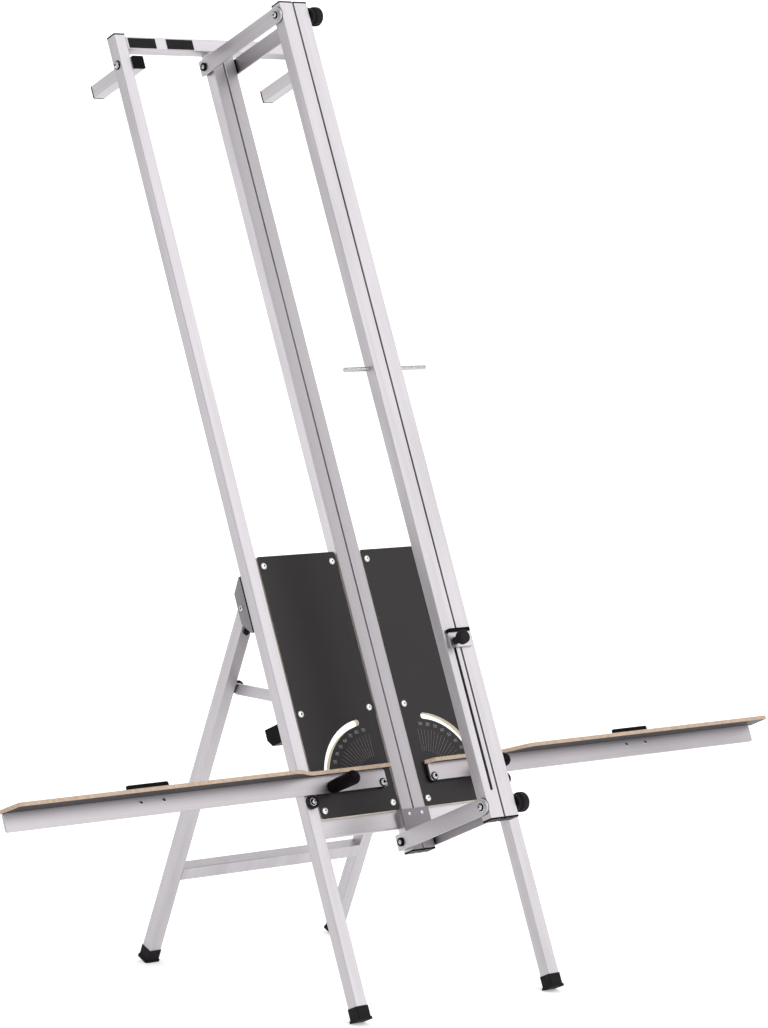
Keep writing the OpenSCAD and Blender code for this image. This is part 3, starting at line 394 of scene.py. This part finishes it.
slider_knob_profile = rounded([
    (0.2, 0, 0, 0), (0.2, 7.0, 0, 0.6), (12.0, 6.3, 0, 1.5), (13.8, 10.5, 0, 1.0), (15.6, 12.4, 1, 0.8),
    (24.5, 12.5, 1, 1.6), (27.6, 11.2, 0, 1.2), (28.8, 8.6, 0, 1.6), (29.0, 0, 0, 0)])
centre = leaning(SLIDER_U, RAIL_FRONT_D - 6.45, SLIDER_V)
stand_in("slider_knob", *turned(slider_knob_profile, centre, -BACK, UP, sides=160, flutes=20, flute_depth=0.05),
         "slider_grip", grip_nylon)

stay_knob_profile = rounded([
    (0.2, 0, 0, 0), (0.2, 8.6, 0, 0.6), (3.6, 8.8, 0, 0.8), (5.4, 12.2, 0.3, 0.8), (6.9, 13.2, 1, 0.8),
    (11.8, 13.2, 1, 1.4), (13.8, 12.0, 0, 1.4), (14.8, 9.0, 0, 1.6), (15.0, 0, 0, 0)])
for side, label in LABELS:
    centre = LEG_PIVOT + MM * (side * 202.8 * ACROSS - 167.0 * LEG_UP)
    shape = turned(stay_knob_profile, centre, -side * ACROSS, LEG_UP, sides=160, flutes=8, flute_depth=0.09)
    stand_in(label + "_stay_knob", *shape, label + "_leg_knob")

lock_handle_profile = rounded([
    (-25.5, 0, 0, 0), (-25.5, 3.6, 0, 0.4), (-25.0, 4.0, 0, 0.3), (0.0, 4.0, 0, 0), (0.0, 11.4, 0, 0.5),
    (2.2, 11.4, 0, 0.5), (2.2, 9.7, 0, 0.4), (4.0, 9.7, 0, 0.4), (5.2, 12.0, 0.2, 0.8), (9.0, 12.1, 1, 0),
    (54.5, 13.0, 1, 0), (56.9, 13.0, 0, 0.5), (58.4, 11.9, 0, 0.4), (60.6, 11.9, 0, 0.4), (62.0, 13.0, 0, 0.5),
    (64.2, 13.0, 0, 1.0), (68.5, 11.6, 0, 2.4), (71.4, 8.2, 0, 2.4), (72.6, 4.0, 0, 2.0), (72.7, 0, 0, 0)])
for side, label in LABELS:
    centre = leaning(side * HANDLE_U, -7.35, HANDLE_V)
    shape = turned(lock_handle_profile, centre, -BACK, UP, sides=128, flutes=16, flute_depth=0.035)
    stand_in(label + "_lock_handle", *shape, label + "_handle")


# Screws and bolts. Each place is (point on the face they bear on, axis of the head, a direction across it).
# Each function takes millimetres along that axis, and gives the bright shapes and the dark ones: black washers, and
# painted shade as dark plugs in the sockets and dark rings round the heads.
def screws(places, r, h, shank, length, socket, seat=0.0):
    """Pan heads h high, raised by seat, with a six-lobed socket whose lower part holds a dark plug of painted shade, on
    plain shanks.
    """
    low, top = seat + h * 0.35, seat + h
    head = rounded([
        (-length, 0, 0, 0), (-length, shank * 0.8, 0, 0), (-length + shank * 0.2, shank, 0, 0), (seat, shank, 0, 0),
        (seat, r, 0, 0), (seat + h * 0.45, r, 0, h * 0.25), (top, r * 0.7, 0, h * 0.45), (top, socket, 1, 0),
        (low, socket * 0.9, 1, 0), (low, 0, 1, 0)], 3)
    # Painted shade: a dark plug fills the lower part of each socket, standing for the shade inside it
    floor, fill = low + 0.01, low + h * 0.4
    painted_socket_shade = [(floor, 0, 1), (floor, socket * 0.86, 1), (fill, socket * 0.88, 1), (fill, 0, 1)]
    return [[turned(rows, *place, sides=48, flutes=6, flute_depth=0.28) for place in places]
            for rows in (head, painted_socket_shade)]


def washers(places, low, high, inner, outer, dark=False):
    """Flat rings from s = low to high with softened rims; dark ones go with the dark parts, as painted shade round bolt
    heads and as black washers under the rear pins.
    """
    soft = min(0.3, (high - low) / 3)
    rows = [(low, inner, 0), (low, outer - soft, 0), (low + soft, outer, 0), (high - soft, outer, 0),
            (high, outer - soft, 0), (high, inner, 0)]
    made = [turned(rows, *place, 64, ring=True) for place in places]
    return ([], made) if dark else (made, [])


def nuts(places, grip):
    """Hexagon nuts of M8 with a washer each, on the far side of what the bolts hold, at s = -grip."""
    seat, back = -grip - 1.62, -grip - 7.6
    flat, corner, bevel = 6.7, 7.48, 0.5
    rows = [(back, 0, 0), (back, flat, 0), (back + bevel, corner, 0), (seat - bevel, corner, 0), (seat, flat, 0),
            (seat, 0, 0)]
    made = [turned(rows, *place, sides=6) for place in places]
    return made + washers(places, -grip - 1.6, -grip, M8_HOLE, 8.0)[0], []


def fastened(node, body, *sets, finish=zinc):
    """Takes the place of the plain fasteners of a CAD node: one bright piece, and one of the dark parts, which are
    black washers and painted shade.
    """
    bright, dark = [merged([shape for pair in sets for shape in pair[k]]) for k in (0, 1)]
    stand_in(node, *bright, body, finish, "zinc_plated_steel")
    piece(node + "_dark_parts", *dark, body, black_nylon_and_painted_shade, "black_plastic")


plate_screws = [(leaning(side * u, PLATE_FACE, v), -BACK, ACROSS) for side in SIDES for u in (41.5, 199.5)
                for v in (376.7, 555.4, 833.5)]
join_screws = [(leaning(side * 14.5, -2.0, 351.5), -BACK, ACROSS) for side in SIDES]
hinge_screws = [(leaning(side * 224.3, 30.9, v), BACK, ACROSS) for side in SIDES for v in (796.8, 815.15)]
bracket_screws = [(leaning(side * 212.0, 19.0, v), -side * ACROSS, UP) for side in SIDES for v in (588.9, 606.9)]
fastened("frame_screws", "frame",
         screws(plate_screws, r=6.3, h=2.4, shank=2.5, length=10.8, socket=2.0),
         screws(join_screws, r=3.3, h=1.3, shank=1.3, length=3.8, socket=1.2),
         screws(hinge_screws, r=5.0, h=2.6, shank=2.5, length=7.7, socket=1.7),
         screws(bracket_screws, r=5.0, h=2.6, shank=2.5, length=4.8, socket=1.7), finish=bright_zinc)

hook_bolts = [(leaning(side * UPRIGHT_U, TUBE_MID_D, 1815.0), side * ACROSS, UP) for side in SIDES]
buffer_bolts = [(leaning(side * 227.5, -4.8, 393.7), -BACK, ACROSS) for side in SIDES]
# Painted shade: the dark ring round each hook bolt's washer, and the dark ring under each buffer bolt's head
fastened("upright_bolts", "frame",
         washers(hook_bolts, 0, 1.2, M8_HOLE, 8.8, dark=True), washers(hook_bolts, 1.22, 2.4, M8_HOLE, 7.0),
         screws(hook_bolts, r=5.0, h=3.6, shank=M8, length=60.1, socket=2.9, seat=2.42), nuts(hook_bolts, grip=50.5),
         washers(buffer_bolts, 0, 1.6, M8_HOLE, 7.4), washers(buffer_bolts, 1.62, 2.4, M8_HOLE, 5.8, dark=True),
         screws(buffer_bolts, r=4.5, h=3.6, shank=M8, length=17.3, socket=2.1, seat=2.42))

pivot_bolts = [(leaning(side * PIVOT_U, WING_FRONT_D, PIVOT_V), -BACK, ACROSS) for side in SIDES]
# Painted shade: the dark ring under each pivot bolt's head
fastened("wing_pivot_bolts", "frame",
         washers(pivot_bolts, 0, 1.4, M8_HOLE, 7.7, dark=True),
         screws(pivot_bolts, r=6.3, h=3.0, shank=M8, length=28.9, socket=3.9, seat=1.42), nuts(pivot_bolts, grip=19.3))

rear_pins = [(leaning(-39.4, TUBE_MID_D, v), -ACROSS, UP) for v in ARM_LEVELS]
fastened("rear_arm_bolts", "frame",
         washers(rear_pins, 0, 1.6, M8_HOLE, 7.9, dark=True),
         screws(rear_pins, r=3.2, h=1.4, shank=3.95, length=88.4, socket=1.1, seat=1.5), nuts(rear_pins, grip=78.8))

leg_bolts = [(leaning(side * UPRIGHT_U, 44.5, 770.0), side * ACROSS, UP) for side in SIDES]
stay_pins = [(leaning(side * 203.1, 38.0, 597.9), -side * ACROSS, UP) for side in SIDES]
fastened("leg_pivot_bolts", "frame",
         screws(leg_bolts, r=5.2, h=1.8, shank=M8, length=41.0, socket=2.6), nuts(leg_bolts, grip=31.4),
         screws(stay_pins, r=4.95, h=3.0, shank=3.0, length=13.4, socket=1.6),
         washers(stay_pins, -13.4, -11.9, 3.05, 6.0))

front_bolts = [(leaning(-37.8, FRONT_BOLT_D, v), -ACROSS, UP) for v in ARM_LEVELS]
# Painted shade: the dark ring between each head and its washer
fastened("front_arm_bolts", "front_rail",
         washers(front_bolts, 0, 1.2, M8_HOLE, 10.6), washers(front_bolts, 1.22, 2.0, M8_HOLE, 7.0, dark=True),
         screws(front_bolts, r=5.0, h=4.0, shank=M8, length=90.2, socket=2.3, seat=2.02))

for side, label in LABELS:
    stop_screws = [(leaning(side * u, -7.2, 428.4), -BACK, ACROSS) for u in (547.0, 596.0)]
    clamp_nut = [(leaning(side * HANDLE_U, 12.2, HANDLE_V), -BACK, ACROSS)]
    fastened(label + "_wing_fixings", label + "_wing",
             screws(stop_screws, r=3.7, h=1.2, shank=2.0, length=6.9, socket=2.7), nuts(clamp_nut, grip=0))

# Thin distance rings between the front rail and its arms, a little wider than the arms' ends; that black rim past the
# arms is painted shade, the dark line of the gap between rail and arm
left_rings, right_rings = [[(leaning(side * FRONT_RAIL_U, FRONT_BOLT_D, v), side * ACROSS, UP) for v in ARM_LEVELS]
                           for side in SIDES]
stand_in("front_arm_spacers", *merged(washers(left_rings, 0.05, 1.05, 4.3, 15.5)[0]
                                      + washers(right_rings, 0.05, 1.05, 4.3, 16.4)[0]), "front_rail")


def half_ring(centre, axis, ahead, low, high, inner, outer, steps=32):
    """Half of a flat ring, closed at its ends, from s = low to high along its axis.

    Corner at angle t: centre + s axis + r (cos t ahead + sin t beside), with t over half a turn."""
    t = np.linspace(-np.pi / 2, np.pi / 2, steps + 1)[:, None, None]
    s, r = np.array([[low, inner], [low, outer], [high, outer], [high, inner]]).T[..., None]
    points = centre + MM * (s * axis + r * (np.cos(t) * ahead + np.sin(t) * np.cross(axis, ahead)))
    last = steps * 4
    ends = [[3, 2, 1, 0], [last, last + 1, last + 2, last + 3]]
    return points.reshape(-1, 3), grid_faces(steps + 1, 4, wrap=True).tolist() + ends


# Painted reflection: black half rings round the front of the right arms' ends, under the knobs, where those rounded
# ends mirror the knobs' black backs
for label, v in (("top", HIGH_ARM_V), ("bottom", LOW_ARM_V)):
    shape = half_ring(leaning(33.6, FRONT_BOLT_D, v), ACROSS, -BACK, low=0.0, high=3.9, inner=14.9, outer=16.4)
    piece(label + "_arm_end_painted_reflection", *shape, label + "_arms", black_nylon_and_painted_shade, "black_plastic")

# Round pull rod with chamfered ends
rod_profile = [(-90.0, 0, 0), (-90.0, 3.5, 0), (-89.2, 4.3, 0), (100.2, 4.3, 0), (101.0, 3.5, 0), (101.0, 0, 0)]
rod = turned(rod_profile, leaning(0, -218.0, 1124.0), ACROSS, UP, sides=48)
stand_in("pull_rod", *rod, "front_rail", drawn_steel, "zinc_plated_steel")

# Slider: a small block with its clamp plate inside the rail, and a narrow strip on top
block = slab(-26.5, 24.5, 592.0, 619.0, RAIL_FRONT_D - 6.3, RAIL_FRONT_D - 0.3, corner=2.0)
clamp_plate = slab(SLIDER_U - 5.5, SLIDER_U + 5.5, SLIDER_V - 5.5, SLIDER_V + 5.5,
                   RAIL_FRONT_D + 1.8, RAIL_FRONT_D + 5.8, corner=3.0)
strip = slab(-25.5, 23.0, 619.1, 625.8, RAIL_FRONT_D - 9.3, RAIL_FRONT_D - 0.3, corner=1.4)
stand_in("slider_block", *merged([block, clamp_plate]), "slider", aluminium_up, "mill_aluminium")
stand_in("slider_strip", *strip, "slider")


# Printed angle scales and bare label plates
def scale_rays(side):
    """Rays of the angle scale about a wing's pin: every 5 degrees a strip 0.44 mm wide.

    Corners: pin + r (cos a, sin a) + w (-sin a, cos a), with r the inner or outer radius and w half the width, of
    both signs."""
    inner, outer, half_width = 50.0, 92.0, 0.22
    a = np.radians(np.arange(5.0, 90.1, 5.0))[:, None]
    r = np.array([[inner, outer, outer, inner]])
    w = half_width * np.array([-1, -1, 1, 1])
    u = PIVOT_U - 3 + r * np.cos(a) - w * np.sin(a)
    v = PIVOT_V + r * np.sin(a) + w * np.cos(a)
    faces = np.arange(u.size).reshape(-1, 4)
    return leaning(side * u, INK_D, v).reshape(-1, 3), faces if side > 0 else faces[:, ::-1]


def scale_number(text, angle, side, size=9.0, radius=101.0):
    """One number of the scale as mesh arrays, upright, at a radius from the pin in the direction of an angle."""
    words = bpy.data.curves.new(text, "FONT")
    words.body, words.size, words.align_x, words.align_y = text, size, "CENTER", "CENTER"
    words.resolution_u = 3
    holder = bpy.data.objects.new(text, words)
    bpy.context.scene.collection.objects.link(holder)
    shape = holder.evaluated_get(bpy.context.evaluated_depsgraph_get()).to_mesh()
    flat = np.empty(len(shape.vertices) * 3)
    shape.vertices.foreach_get("co", flat)
    faces = [list(p.vertices) for p in shape.polygons]
    bpy.data.objects.remove(holder)
    flat = flat.reshape(-1, 3)
    a = np.radians(angle)
    u = side * (PIVOT_U + radius * np.cos(a)) + flat[:, 0]
    v = PIVOT_V + radius * np.sin(a) + flat[:, 1]
    return leaning(u, INK_D, v), faces


bpy.context.view_layer.update()
# The numbers 30 to 90 stand 9.55 degrees apart, the last one a little before the upright ray
for side, label in LABELS:
    numbers = [scale_number(str(n), 86.2 - 0.955 * (90 - n), side) for n in range(30, 91, 10)]
    points, faces = merged([scale_rays(side), *numbers])
    piece(label + "_angle_scale", points, faces, "frame", scale_ink, "film_faced_plywood", smooth=False)

# Two bare label plates of 63 x 20 mm on the top crossbar
for label, u0, u1 in (("outer", -211.5, -148.7), ("inner", -123.6, -61.4)):
    shape = slab(u0, u1, 1845.3, 1865.2, -0.5, -0.02, corner=0.8)
    piece(label + "_label_plate", *shape, "frame", label_film, "black_plastic", smooth=False)


# Floor, light and camera
def studio_sweep():
    """Floor and backdrop in one sheet: level, then a quarter circle of radius 3 m, then upright, 60 m wide."""
    bend = np.linspace(0, np.pi / 2, 24)
    y = np.concatenate([[-40.0], 9 + 3 * np.sin(bend), [12.0]])
    z = np.concatenate([[0.0], 3 - 3 * np.cos(bend), [14.0]])
    x = np.array([-30.0, 30.0])
    points = np.stack([np.repeat(x[None], len(y), 0), np.repeat(y[:, None], 2, 1), np.repeat(z[:, None], 2, 1)], -1)
    # Turned about the upright axis, so that the backdrop faces the camera
    turn = np.radians(-40.258)
    c, s = np.cos(turn), np.sin(turn)
    return points.reshape(-1, 3) @ np.array([[c, s, 0], [-s, c, 0], [0, 0, 1]]), grid_faces(len(y), 2)


paper, paper_tree, paper_shader, paper_place = blank("white_paper_sweep")
fibres = add(paper_tree, "TexNoise", {"Vector": paper_place.outputs["Object"], "Scale": 60.0, "Detail": 3.0})
paper_tint = add(paper_tree, "Mix", {0: fibres.outputs[0], 6: colour("f6f6f7"), 7: colour("fbfbfb")}, data_type="RGBA")
finish_with(paper_tree, paper_shader, Base_Color=paper_tint.outputs[2])
paper_shader.inputs["Roughness"].default_value = 0.9
# The paper is lit from behind as well, so that it stays white
paper_shader.inputs["Emission Color"].default_value = (1.0, 1.0, 1.0, 1.0)
paper_shader.inputs["Emission Strength"].default_value = 0.35
sweep_points, sweep_faces = studio_sweep()
floor = piece("studio_sweep", sweep_points, sweep_faces, None, paper, None)

# A pale studio all round, a little dimmer than the paper
world = bpy.data.worlds.new("soft_studio")
bpy.context.scene.world = world
world.use_nodes = True
surround = world.node_tree.nodes["Background"]
surround.inputs["Color"].default_value = colour("faf8fa")
surround.inputs["Strength"].default_value = 0.75
bpy.context.scene.view_settings.view_transform = "Standard"


def soft_light(name, ahead, spread, strength):
    """A far, wide light: it shines along one direction and softens shadows as a disc of the given degrees."""
    data = bpy.data.lights.new(name, "SUN")
    data.angle, data.energy = np.radians(spread), strength
    lamp = bpy.data.objects.new(name, data)
    ahead = np.array(ahead, float) / np.linalg.norm(ahead)
    side = np.cross(ahead, [0, 0, 1])
    side /= np.linalg.norm(side)
    axes = np.column_stack([side, np.cross(side, ahead), -ahead, [0, 0, 3]])
    lamp.matrix_world = Matrix(np.vstack([axes, [0, 0, 0, 1]]).tolist())
    bpy.context.scene.collection.objects.link(lamp)


soft_light("front_light", ahead=(-0.30, 0.75, -0.58), spread=40, strength=1.0)

# The camera's own directions and place, fitted to the corners seen in the photo
right = (0.76426929, -0.64459226, 0.01983095)
up = (0.04846896, 0.0880771, 0.99493376)
ahead = (0.64307325, 0.75943613, -0.09855734)
place = (-4.488364, -5.438824, 1.550934)
lens = bpy.data.cameras.new("camera")
lens.lens, lens.sensor_width, lens.clip_end = 135.254, 36.0, 60.0
camera = bpy.data.objects.new("camera", lens)
camera.matrix_world = Matrix([[right[i], up[i], -ahead[i], place[i]] for i in range(3)] + [[0, 0, 0, 1]])
bpy.context.scene.collection.objects.link(camera)
bpy.context.scene.camera = camera
